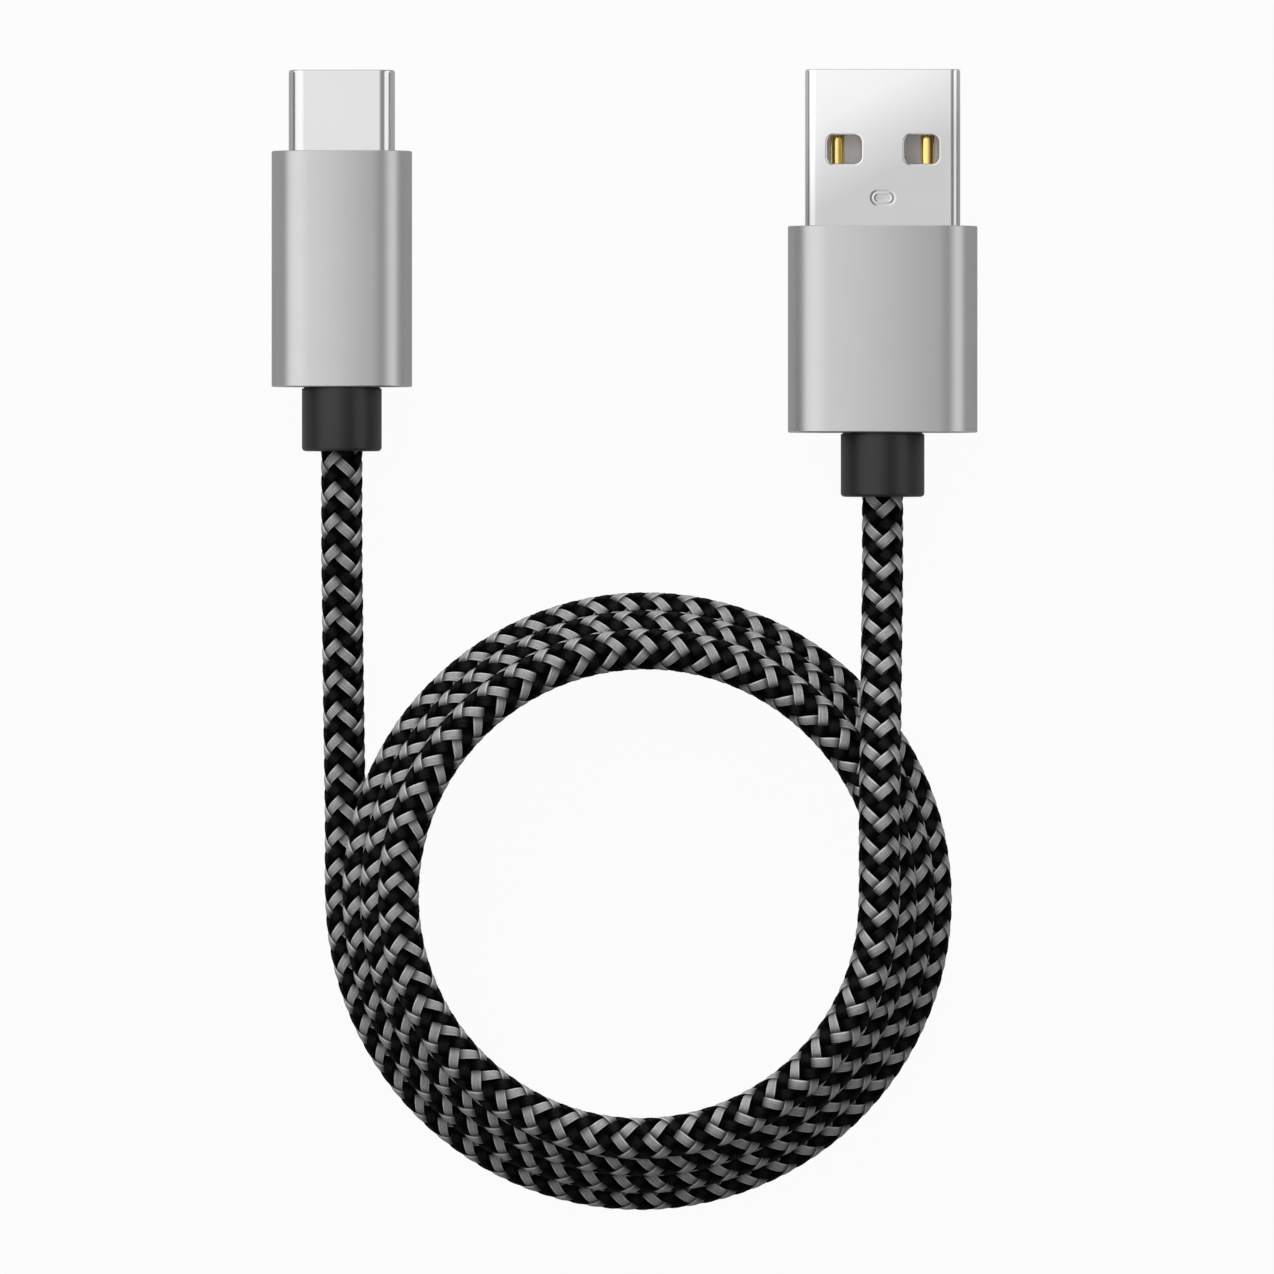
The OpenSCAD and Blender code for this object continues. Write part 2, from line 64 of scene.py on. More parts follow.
class Nodes:
    """Short names for adding and linking shader nodes."""

    def __init__(self, tree):
        self.tree = tree

    def add(self, kind, **settings):
        node = self.tree.nodes.new("ShaderNode" + kind)
        for key, value in settings.items():
            setattr(node, key, value)
        return node

    def link(self, source, target):
        self.tree.links.new(source, target)

    def put(self, socket, value):
        if isinstance(value, bpy.types.NodeSocket):
            self.link(value, socket)
        else:
            socket.default_value = value

    def math(self, operation, *values, clamp=False):
        node = self.add("Math", operation=operation, use_clamp=clamp)
        for socket, value in zip(node.inputs, values):
            self.put(socket, value)
        return node.outputs[0]

    def average(self, a, b, share):
        """A share of a, and b for the rest."""
        return self.math("ADD", self.math("MULTIPLY", a, share),
                         self.math("MULTIPLY", b, 1 - share))

    def around(self, texture, middle, spread):
        """A value that follows a texture from 0 to 1, over a spread around the middle."""
        return self.math("MULTIPLY_ADD", texture, spread, middle - spread / 2)

    def mix(self, factor, a, b, blend="MIX"):
        node = self.add("Mix", data_type="RGBA", blend_type=blend)
        for socket, value in ((0, factor), (6, a), (7, b)):
            self.put(node.inputs[socket], value)
        return node.outputs[2]

    def ramp(self, factor, *stops):
        """Piecewise grey levels over the factor."""
        node = self.add("ValToRGB")
        elements = node.color_ramp.elements
        while len(elements) < len(stops):
            elements.new(0.5)
        for element, (place, level) in zip(elements, stops):
            element.position = place
            element.color = grey(level)
        self.put(node.inputs[0], factor)
        return node.outputs[0]

    def noise(self, vector, scale, detail, roughness):
        node = self.add("TexNoise")
        node.inputs["Scale"].default_value = scale
        node.inputs["Detail"].default_value = detail
        node.inputs["Roughness"].default_value = roughness
        self.link(vector, node.inputs["Vector"])
        return node.outputs["Fac"]

    def scaled(self, vector, factors):
        node = self.add("Mapping")
        node.inputs["Scale"].default_value = factors
        self.link(vector, node.inputs["Vector"])
        return node.outputs["Vector"]

    def parts(self, vector):
        """A vector's X, Y and Z."""
        node = self.add("SeparateXYZ")
        self.link(vector, node.inputs[0])
        return node.outputs

    def bump(self, height, strength, distance):
        node = self.add("Bump")
        node.inputs["Strength"].default_value = strength
        node.inputs["Distance"].default_value = distance
        self.link(height, node.inputs["Height"])
        return node.outputs["Normal"]

    def principled(self, colour, roughness, normal, metallic=0.0, specular=0.5):
        shader = self.add("BsdfPrincipled")
        shader.inputs["Metallic"].default_value = metallic
        shader.inputs["Specular IOR Level"].default_value = specular
        self.link(colour, shader.inputs["Base Color"])
        self.link(roughness, shader.inputs["Roughness"])
        self.link(normal, shader.inputs["Normal"])
        self.surface(shader.outputs[0])

    def surface(self, shader):
        self.link(shader, self.add("OutputMaterial").inputs["Surface"])


def new_material(name):
    material = bpy.data.materials.new(name)
    material.use_nodes = True
    tree = material.node_tree
    tree.nodes.clear()
    return material, Nodes(tree)


def grey(level):
    return (level, level, level, 1)


# ---------------------------------------------------------------- camera, floor and light

# Width of the frame that the camera sees, and the place in its middle
FRAME_W, FRAME_MIDDLE = 98.95, (0.98, -27.46, 3.5)
# Half the floor's width in metres, and its grey
FLOOR_HALF, FLOOR_GREY = 3.0, 0.41
# How much of the floor is plain white to the camera, and to a ray from metal, which mostly
# sees the floor as it is lit
FLOOR_WHITE, FLOOR_IN_METAL = 0.96, 0.2
# The lamp's place and size in metres, its power in watts, and the point that it faces
LAMP_AT, LAMP_SIZE, LAMP_POWER = (-0.12, 0.82, 0.45), 0.30, 3.2
LAMP_AIM = (0, -20, 0)
# The studio's level from the left horizon (0) over straight above (0.5) to the right one (1)
STUDIO = ((0.0, 0.2), (0.02, 0.22), (0.04, 1.15), (0.12, 1.25), (0.32, 1.3), (0.46, 1.12),
          (0.51, 0.95), (0.545, 0.75), (0.60, 0.32), (0.78, 0.30), (0.84, 1.15), (0.965, 1.15),
          (0.985, 0.30), (1.0, 0.2))
# How fast that level rises towards +y in metal and on cloth, and its least and most factor
IN_METAL_Y, ON_CLOTH_Y, STUDIO_LEAST, STUDIO_MOST = 0.45, 1.9, 0.05, 1.05


def add_camera():
    """A long lens that looks straight down."""
    data = bpy.data.cameras.new("camera")
    data.lens = 500
    data.sensor_width = 36
    data.clip_start = 0.05
    data.clip_end = 20
    camera = bpy.data.objects.new("camera", data)
    bpy.context.scene.collection.objects.link(camera)
    distance = FRAME_W * MM * data.lens / data.sensor_width
    x, y, z = FRAME_MIDDLE
    camera.location = (x * MM, y * MM, z * MM + distance)
    bpy.context.scene.camera = camera


def add_floor():
    mesh = bpy.data.meshes.new("floor")
    corners = [(x * FLOOR_HALF, y * FLOOR_HALF, 0)
               for x, y in ((-1, -1), (1, -1), (1, 1), (-1, 1))]
    mesh.from_pydata(corners, [], [(0, 1, 2, 3)])
    floor = bpy.data.objects.new("floor", mesh)
    bpy.context.scene.collection.objects.link(floor)
    material, n = new_material("floor")
    path = n.add("LightPath")
    seen = n.math("MAXIMUM", path.outputs["Is Camera Ray"], path.outputs["Is Transmission Ray"])
    in_metal = n.math("MULTIPLY", path.outputs["Is Glossy Ray"], FLOOR_IN_METAL)
    seen = n.math("MAXIMUM", n.math("MULTIPLY", seen, FLOOR_WHITE), in_metal)
    diffuse = n.add("BsdfDiffuse")
    diffuse.inputs["Color"].default_value = grey(FLOOR_GREY)
    white = n.add("Emission")
    mix = n.add("MixShader")
    n.link(seen, mix.inputs[0])
    n.link(diffuse.outputs[0], mix.inputs[1])
    n.link(white.outputs[0], mix.inputs[2])
    n.surface(mix.outputs[0])
    mesh.materials.append(material)


def add_world():
    """White behind the object. Around it a soft studio: a bright panel from low on the left
    to straight above, a darker gap to the right of it and a second panel low on the right.
    All of it is brighter towards +y."""
    scene = bpy.context.scene
    world = bpy.data.worlds.new("world")
    world.use_nodes = True
    scene.world = world
    tree = world.node_tree
    tree.nodes.clear()
    n = Nodes(tree)
    path = n.add("LightPath")
    towards = n.parts(n.add("TexCoord").outputs["Generated"])
    # The direction's X, from -1 to 1, gives the place in STUDIO, from 0 to 1
    across = n.math("MULTIPLY_ADD", towards["X"], 0.5, 0.5)
    studio = n.ramp(across, *STUDIO)
    rise = n.math("MULTIPLY_ADD", path.outputs["Is Glossy Ray"], IN_METAL_Y - ON_CLOTH_Y,
                  ON_CLOTH_Y)
    along = n.math("MULTIPLY_ADD", towards["Y"], rise, 1.0)
    along = n.math("MAXIMUM", n.math("MINIMUM", along, STUDIO_MOST), STUDIO_LEAST)
    studio = n.math("MULTIPLY", studio, along)
    level = n.math("MAXIMUM", path.outputs["Is Camera Ray"], studio)
    back = n.add("Background")
    back.inputs["Color"].default_value = grey(1)
    n.link(level, back.inputs["Strength"])
    n.link(back.outputs[0], n.add("OutputWorld").inputs["Surface"])
    scene.view_settings.view_transform = "Standard"


def add_lamp():
    """A soft lamp beyond the plugs' tips, hidden from glossy rays."""
    data = bpy.data.lights.new("key", "AREA")
    data.shape = "RECTANGLE"
    data.size = LAMP_SIZE
    data.size_y = LAMP_SIZE
    data.energy = LAMP_POWER
    lamp = bpy.data.objects.new("key", data)
    lamp.visible_glossy = False
    bpy.context.scene.collection.objects.link(lamp)
    lamp.location = Vector(LAMP_AT)
    to = Vector(LAMP_AIM) * MM - Vector(LAMP_AT)
    lamp.rotation_euler = to.to_track_quat("-Z", "Y").to_euler()


add_camera()
add_floor()
add_world()
add_lamp()


# ---------------------------------------------------------------- the cord's route

CORD_D = 3.2
# The coil is a cone of turns: its middle, the radius where it starts, how far each turn lies
# further in and higher than the one below, and the number of turns
COIL_X, COIL_Y, COIL_R = 1.45, -47.65, 23.15
TURN_IN, TURN_UP, TURNS = 1.4, 3.05, 3.5
# Share of each turn where it starts to climb onto the turn below, and where it is up
CLIMB_FROM, CLIMB_TO = 0.72, 0.96
# Turn at which the last crossing starts to rise, and its rise
CROSSING_FROM, CROSSING_RISE = 3.3, 0.4
# Points of the route in one turn, and the length over which the route is smoothed
TURN_POINTS, SMOOTHED = 48, 1.2


def smooth(u):
    v = min(max(u, 0.0), 1.0)
    return v * v * (3 - 2 * v)


def coil_point(t):
    """The cord's middle after t turns."""
    whole = math.floor(t)
    climb = whole + smooth((t - whole - CLIMB_FROM) / (CLIMB_TO - CLIMB_FROM))
    crossing = smooth((t - CROSSING_FROM) / (TURNS - CROSSING_FROM))
    radius, angle = COIL_R - TURN_IN * t, 2 * math.pi * t
    return (COIL_X - radius * math.cos(angle), COIL_Y - radius * math.sin(angle),
            CORD_D / 2 + TURN_UP * climb + CROSSING_RISE * crossing)


def cord_points():
    """The CAD's points of the whole cord, from the USB-C plug to the USB-A plug."""
    start, end = coil_point(0), coil_point(TURNS)
    lead_c = [
        (C_X, C_CORD_Y, C_Z), (C_X, C_CORD_Y - CORD_D, C_Z),
        (-21.95, -19.4, 3.1), (-21.95, -22.4, 2.7), (-21.9, -25.4, 2.15),
        (-21.9, -28.4, 1.75), (-21.85, -31.6, 1.6), (-21.8, -35, 1.6),
        (-21.75, -38.2, 1.6), (-21.7, -41.4, 1.6),
        (start[0], start[1] + CORD_D, start[2]),
    ]
    lead_a = [
        (end[0], end[1] + CORD_D, end[2]), (end[0], end[1] + 2 * CORD_D, end[2]),
        (19.75, -38.6, 10.8), (19.8, -36, 9.9), (19.85, -33.4, 8.6), (19.9, -30.8, 7.1),
        (19.95, -28.2, 5.7), (20, -25.6, 4.6), (20.05, -22.8, 3.95),
        (A_X, A_CORD_Y - CORD_D, A_Z), (A_X, A_CORD_Y, A_Z),
    ]
    steps = int(TURNS * TURN_POINTS)
    return lead_c + [coil_point(TURNS * i / steps) for i in range(steps + 1)] + lead_a


def through(points, per_span=12):
    """A smooth curve through the points: a Hermite spline by chord length."""
    p = np.array(points, float)
    chord = np.linalg.norm(np.diff(p, axis=0), axis=1)
    slope = np.diff(p, axis=0) / chord[:, None]
    tangent = np.empty_like(p)
    tangent[0], tangent[-1] = slope[0], slope[-1]
    a, b = chord[:-1, None], chord[1:, None]
    tangent[1:-1] = (slope[:-1] * b + slope[1:] * a) / (a + b)
    u = np.arange(per_span)[:, None] / per_span
    curve = []
    for i in range(len(p) - 1):
        m0, m1 = tangent[i] * chord[i], tangent[i + 1] * chord[i]
        curve.append((2 * u ** 3 - 3 * u ** 2 + 1) * p[i] + (u ** 3 - 2 * u ** 2 + u) * m0
                     + (3 * u ** 2 - 2 * u ** 3) * p[i + 1] + (u ** 3 - u ** 2) * m1)
    curve.append(p[-1:])
    return np.vstack(curve)


def resample(curve, step):
    """The curve at even places, and those places' lengths along it."""
    length = np.concatenate([[0], np.cumsum(np.linalg.norm(np.diff(curve, axis=0), axis=1))])
    count = int(round(length[-1] / step)) + 1
    places = np.linspace(0, length[-1], count)
    return np.column_stack([np.interp(places, length, curve[:, k]) for k in range(3)]), places


def softened(curve, spread):
    """Gaussian smoothing over a number of points. It keeps the ends and their direction."""
    reach = int(3 * spread)
    weights = np.exp(-0.5 * (np.arange(-reach, reach + 1) / spread) ** 2)
    weights /= weights.sum()
    before = 2 * curve[0] - curve[reach:0:-1]
    after = 2 * curve[-1] - curve[-2:-reach - 2:-1]
    padded = np.vstack([before, curve, after])
    return np.column_stack([np.convolve(padded[:, k], weights, "valid") for k in range(3)])


# The braid's lay, the over-and-under waves in one lay, and the rings in one wave
LAY, WAVES, WAVE_RINGS = 9.72, 4, 11
WAVE_L = LAY / WAVES
STEP = WAVE_L / WAVE_RINGS
# Middle radius of the strands
BRAID_R = 1.445
# The turns lie on each other. The cord bulges by PRESS towards the turn above and below it,
# which lie at an angle from upright, from one pair of places along the cord to another.
PRESS, STACKED_AT = 0.11, math.atan2(TURN_IN, TURN_UP)
TURN_ABOVE, TURN_BELOW = (30, 42, 366, 376), (170, 182, 482, 492)
# How far the braid has slipped back, at places along the cord
SLIP_AT = (0, 141, 210, 276, 340, 402, 461, 522)
SLIP = (0, 0.46, 0.53, 0.86, 0.86, 1.22, 0.97, 1.0)


class Route:
    """The cord's middle line at even steps, with its direction, side and upward vectors."""

    def __init__(self):
        curve, _ = resample(through(cord_points()), STEP)
        curve, self.s = resample(softened(curve, SMOOTHED / STEP), STEP)
        self.centre = curve
        self.ahead = np.gradient(curve, self.s, axis=0)
        self.ahead /= np.linalg.norm(self.ahead, axis=1)[:, None]
        side = np.cross(self.ahead, [0, 0, 1])
        self.side = side / np.linalg.norm(side, axis=1)[:, None]
        self.up = np.cross(self.side, self.ahead)
        self.length = self.s[-1]
        # The braid's own length along the cord, even along its upper side as seen from
        # above: it stretches where the cord slopes
        top = (self.centre + BRAID_R * self.up)[:, :2]
        along = np.concatenate([[0], np.cumsum(np.linalg.norm(np.diff(top, axis=0), axis=1))])
        self.lay = along - np.interp(self.s, SLIP_AT, SLIP)

    def from_lay(self, lay):
        """The place along the cord of a place along the braid."""
        over = lay - np.clip(lay, 0, self.lay[-1])
        return np.interp(lay, self.lay, self.s) + over

    @staticmethod
    def bulge(s, angle):
        """How far the cord bulges out, at places along it and angles around it."""
        facing = np.cos(angle + STACKED_AT)
        return PRESS * (np.interp(s, TURN_ABOVE, (0, 1, 1, 0)) * np.clip(facing, 0, 1) ** 2
                        + np.interp(s, TURN_BELOW, (0, 1, 1, 0)) * np.clip(-facing, 0, 1) ** 2)

    def at(self, values, s):
        inside = np.clip(s, 0, self.length)
        return np.stack([np.interp(inside, self.s, values[:, k]) for k in range(3)], axis=-1)

    def surface(self, s, angle, radius):
        """Points at a place along the cord, an angle around it and a radius."""
        over = (s - np.clip(s, 0, self.length))[..., None]
        out = (np.cos(angle)[..., None] * self.at(self.up, s)
               + np.sin(angle)[..., None] * self.at(self.side, s))
        return (self.at(self.centre, s) + over * self.at(self.ahead, s)
                + radius[..., None] * out)


route = Route()


# ---------------------------------------------------------------- pieces from mesh code

def add_piece(name, mesh, material, body=BODY):
    mesh.materials.append(material)
    piece = bpy.data.objects.new(name, mesh)
    bpy.context.scene.collection.objects.link(piece)
    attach(piece, body)
    return piece


def mesh_of(name, points, faces):
    """A smooth mesh from points in millimetres."""
    mesh = bpy.data.meshes.new(name)
    mesh.from_pydata((np.asarray(points) * MM).tolist(), [], faces)
    mesh.polygons.foreach_set("use_smooth", [True] * len(mesh.polygons))
    return mesh


class Outline:
    """A loop across a plug's axis: points and outward normals. It starts below the axis and
    runs towards +x."""
    NEAR = 0.03

    def __init__(self):
        self.points, self.normals = [], []

    def put(self, x, z, nx, nz):
        self.points.append((x, z))
        self.normals.append((nx, nz))

    @classmethod
    def rounded(cls, w, h, r, arc, slit=None):
        """A rounded rectangle, which a slit below may open. A second point lies NEAR each end
        of an arc that meets a flat, so that smooth shading stays off the flats."""
        outline = cls()
        flat_x, flat_z = w / 2 - r, h / 2 - r
        if slit is not None:
            outline.put(slit / 2, -h / 2, 0, -1)
        for turn in range(4):
            cx = flat_x if turn in (0, 1) else -flat_x
            cz = -flat_z if turn in (0, 3) else flat_z
            for i in range(arc + 1):
                angle = -math.pi / 2 + (turn + i / arc) * math.pi / 2
                nx, nz = math.cos(angle), math.sin(angle)
                x, z = cx + r * nx, cz + r * nz
                meets_flat = (flat_x if turn % 2 == i // arc % 2 else flat_z) > cls.NEAR
                if i == 0 and meets_flat:
                    outline.put(x + nz * cls.NEAR, z - nx * cls.NEAR, nx, nz)
                outline.put(x, z, nx, nz)
                if i == arc and meets_flat:
                    outline.put(x - nz * cls.NEAR, z + nx * cls.NEAR, nx, nz)
        if slit is not None:
            outline.put(-slit / 2, -h / 2, 0, -1)
        return outline

    @classmethod
    def eased(cls, w, h, r, ease, crown):
        """A rounded rectangle whose long sides are crowned, up to the crown angle at their
        ends. From there to the ease angle a spiral leads into the corner's arc."""
        side, spiral, arc = 10, 10, 14
        turns = [(crown + (ease - crown) * (i / spiral) ** 2, 2 * (ease - crown) * r / spiral)
                 for i in range(1, spiral + 1)]
        turns += [(ease + (math.pi / 2 - ease) * i / arc, (math.pi / 2 - ease) * r / arc)
                  for i in range(1, arc + 1)]
        reach = cls.walk(turns, crown)[-1][0]
        step = (w / 2 - reach) / math.cos(crown / 2) / side
        turns = [(crown * i / side, step) for i in range(1, side + 1)] + turns
        quarter = [(x, h / 2 + z, math.sin(a), math.cos(a)) for x, z, a in cls.walk(turns, 0)]
        outline = cls()
        for sx, sz, order in ((1, -1, 1), (1, 1, -1), (-1, 1, 1), (-1, -1, -1)):
            for x, z, nx, nz in quarter[::order]:
                outline.put(sx * x, sz * z, sx * nx, sz * nz)
        return outline

    @staticmethod
    def walk(turns, angle):
        """Points (x, z, angle) of a path that turns downwards, from pairs of angle and step."""
        x, z, path = 0.0, 0.0, []
        for after, length in turns:
            middle = (angle + after) / 2
            x, z = x + length * math.cos(middle), z - length * math.sin(middle)
            path.append((x, z, after))
            angle = after
        return path

    def ring(self, inset, y):
        flat = np.array(self.points) - inset * np.array(self.normals)
        return np.column_stack([flat[:, 0], np.full(len(flat), y), flat[:, 1]])


class Shape:
    """The faces of one piece in a plug's own frame, whose origin is the middle of the
    housing's front. An edge value of 1 marks a polished edge."""
    # Points closer than this are one: in a sheet, in millimetres, and in a piece, in metres
    SHEET_WELD, WELD = 1e-6, 2e-7
    # Sides shorter than this, in metres, are dropped
    SHORTEST = 1e-8

    def __init__(self, place):
        self.place = np.array(place, float)
        self.points, self.faces, self.edges = [], [], []

    def add(self, points, faces, edge=0.0):
        first = len(self.points)
        self.points += [tuple(map(float, p)) for p in points]
        self.faces += [[first + i for i in face] for face in faces]
        self.edges += [edge] * len(faces)

    def loft(self, rings, around=True, along=False, edges=None, skip=None):
        """Quads between rings of equal length, closed around, along or both ways."""
        n, m = len(rings[0]), len(rings)
        for j in range(m if along else m - 1):
            faces = [(i, (i + 1) % n, n + (i + 1) % n, n + i)
                     for i in range(n if around else n - 1) if not (skip and skip(i, j))]
            pair = list(rings[j]) + list(rings[(j + 1) % m])
            self.add(pair, faces, edges[j] if edges else 0.0)

    def cap(self, ring):
        self.add(ring, [list(range(len(ring)))])

    def sheet(self, border, holes, height):
        """A flat sheet at one height, between its border and holes given as (x, y) loops."""
        points, edges = [], []
        for loop in [border] + holes:
            first = len(points)
            points += [Vector(p) for p in loop]
            edges += [(first + i, first + (i + 1) % len(loop)) for i in range(len(loop))]
        made = delaunay_2d_cdt(points, edges, [], 0, self.SHEET_WELD)
        flat, faces = made[0], []
        for face in made[2]:
            middle = sum((flat[i] for i in face), Vector((0, 0))) / len(face)
            if inside(middle, border) and not any(inside(middle, h) for h in holes):
                faces.append(face)
        self.add([(p[0], p[1], height) for p in flat], faces)

    def piece(self, name, material, slot, sharp):
        """The finished piece. Edges over the sharp angle, in degrees, aren't smoothed."""
        bm = bmesh.new()
        mark = bm.faces.layers.float.new("edge")
        places = (np.array(self.points) + self.place) * MM
        verts = [bm.verts.new(p) for p in places.tolist()]
        for face, edge in zip(self.faces, self.edges):
            made = bm.faces.new([verts[i] for i in face])
            made[mark] = edge
            made.smooth = True
        bmesh.ops.remove_doubles(bm, verts=bm.verts, dist=self.WELD)
        bmesh.ops.dissolve_degenerate(bm, edges=bm.edges, dist=self.SHORTEST)
        bmesh.ops.recalc_face_normals(bm, faces=bm.faces)
        mesh = bpy.data.meshes.new(name)
        bm.to_mesh(mesh)
        bm.free()
        mesh.set_sharp_from_angle(angle=math.radians(sharp))
        return add_piece(name, mesh, material)


def inside(point, loop):
    """Even and odd crossings of a loop's sides, counted to the right of the point."""
    x, y = point
    odd = False
    for (x0, y0), (x1, y1) in zip(loop, loop[1:] + loop[:1]):
        if (y0 > y) != (y1 > y) and x < x0 + (y - y0) / (y1 - y0) * (x1 - x0):
            odd = not odd
    return odd


def rounded_loop(cx, cy, w, h, r, arc=8):
    """A rounded rectangle's loop of (x, y) points."""
    loop = []
    for turn in range(4):
        x = cx + (w / 2 - r) * (1 if turn in (0, 1) else -1)
        y = cy + (h / 2 - r) * (1 if turn in (1, 2) else -1)
        for i in range(arc + 1):
            angle = -math.pi / 2 + (turn + i / arc) * math.pi / 2
            loop.append((x + r * math.cos(angle), y + r * math.sin(angle)))
    return loop


def fillet(y, radius, towards, steps=5):
    """A quarter round from the side wall at y to an end face, as (inset, y) pairs."""
    return [(radius * (1 - math.cos(a)), y + towards * radius * math.sin(a))
            for a in (math.pi / 2 * i / steps for i in range(steps + 1))]


# ---------------------------------------------------------------- plugs

A_PLACE, C_PLACE = (A_X, A_FRONT_Y, A_Z), (C_X, C_FRONT_Y, C_Z)
# The housings' wall, the radius of their corners, and in degrees, the angle at which a corner's
# arc starts and the one up to which the faces are crowned
HOUSING_T, HOUSING_R, HOUSING_EASE, HOUSING_CROWN = 0.7, 2.9, 15, 4
# Cut edges outside and inside
CUT, INNER_CUT = 0.06, 0.06


def housing_piece(name, place, size, material):
    """An open aluminium tube with slightly crowned faces, narrow cut edges, flat ends and
    flat faces inside."""
    w, h, l = size
    outer, inner = (Outline.eased(w, h, HOUSING_R, math.radians(HOUSING_EASE),
                                  math.radians(crown)) for crown in (HOUSING_CROWN, 0))
    # Insets and places along the axis, from the back inside to the front inside, and which
    # of the bands between them are cut edges
    profile = [(HOUSING_T, -l + INNER_CUT), (HOUSING_T - INNER_CUT, -l), (CUT, -l),
               (0, -l + CUT), (0, -l + CUT + Outline.NEAR), (0, -CUT - Outline.NEAR),
               (0, -CUT), (CUT, 0), (HOUSING_T - INNER_CUT, 0), (HOUSING_T, -INNER_CUT)]
    edges = [1, 0, 1, 0, 0, 0, 1, 0, 1, 0]
    shape = Shape(place)
    shape.loft([(inner if inset > CUT else outer).ring(inset, y) for inset, y in profile],
               along=True, edges=edges)
    return shape.piece(name, material, "housing_aluminium", sharp=25)


# The strain reliefs: how far the neck goes into the housing, its radius, the bore's radius
NECK_L, NECK_R, BORE_R = 0.3, 2.45, 1.65
# The round of their back edge, and the bore's mouth with the inset of its middle
BACK_ROUND, MOUTH, MOUTH_MIDDLE = 0.3, 0.12, 0.035
# Depth and width of the groove next to the housing, and the round of its edge
GROOVE_DEPTH, GROOVE_W, GROOVE_ROUND = 0.14, 0.12, 0.06


def relief_piece(name, place, l, d, material):
    """A moulded collar around the cord: rounded edges, a neck in the housing and a bore. A
    shallow groove runs round it next to the housing."""
    r = d / 2
    neck, bore = r - NECK_R, r - BORE_R
    back, front = -l - RELIEF_L, -l - GROOVE_W
    profile = [(bore, -l + NECK_L), (neck, -l + NECK_L), (neck, -l), (GROOVE_DEPTH, -l),
               (GROOVE_DEPTH, front)]
    profile += fillet(front - GROOVE_ROUND, GROOVE_ROUND, 1)[::-1]
    profile += fillet(back + BACK_ROUND, BACK_ROUND, -1, steps=7)
    profile += [(bore - MOUTH, back), (bore - MOUTH_MIDDLE, back + MOUTH_MIDDLE),
                (bore, back + MOUTH)]
    outline = Outline.rounded(d, d, r, arc=16)
    shape = Shape(place)
    shape.loft([outline.ring(inset, y) for inset, y in profile], along=True)
    return shape.piece(name, material, "relief_rubber", sharp=40)


# The Type-A shell: width, height and corner radius, its wall, its reach out of the housing
# and into it, the seam below, and the steps of its front rim
A_SHELL = (12.0, 4.5, 0.75)
A_SHELL_T, A_SHELL_OUT, A_SHELL_IN = 0.3, 12.15, 6.5
SLIT, RIM_STEPS = 0.1, 8
# A window's width, height and corner radius, and its place
WINDOW = (2.58, 2.18, 0.5)
WINDOW_X, WINDOW_Y = 3.0, 5.92
# Pressed rim of a window, from the flat inwards: offset from the opening, and depth
RIM = ((0.21, 0.0), (0.17, 0.0), (0.12, 0.012), (0.065, 0.045), (0.025, 0.1), (0.0, 0.17))
# Dimple, a groove with a shallow dish in it: inset from its outline, and depth
DIMPLE = ((-0.04, 0.0), (0.0, 0.0), (0.03, 0.004), (0.09, 0.021), (0.14, 0.032),
          (0.17, 0.035), (0.20, 0.032), (0.25, 0.020), (0.29, 0.013), (0.315, 0.012),
          (0.34, 0.016), (0.38, 0.028), (0.42, 0.037), (0.46, 0.040))
DIMPLE_SIZE, DIMPLE_Y = (2.05, 1.3), 2.17


def window_loop(x, offset):
    w, h, r = WINDOW
    return rounded_loop(x, WINDOW_Y, w + 2 * offset, h + 2 * offset, r + offset)


def dimple_loop(inset):
    w, h = DIMPLE_SIZE
    return rounded_loop(0, DIMPLE_Y, w - 2 * inset, h - 2 * inset, h / 2 - inset, arc=10)


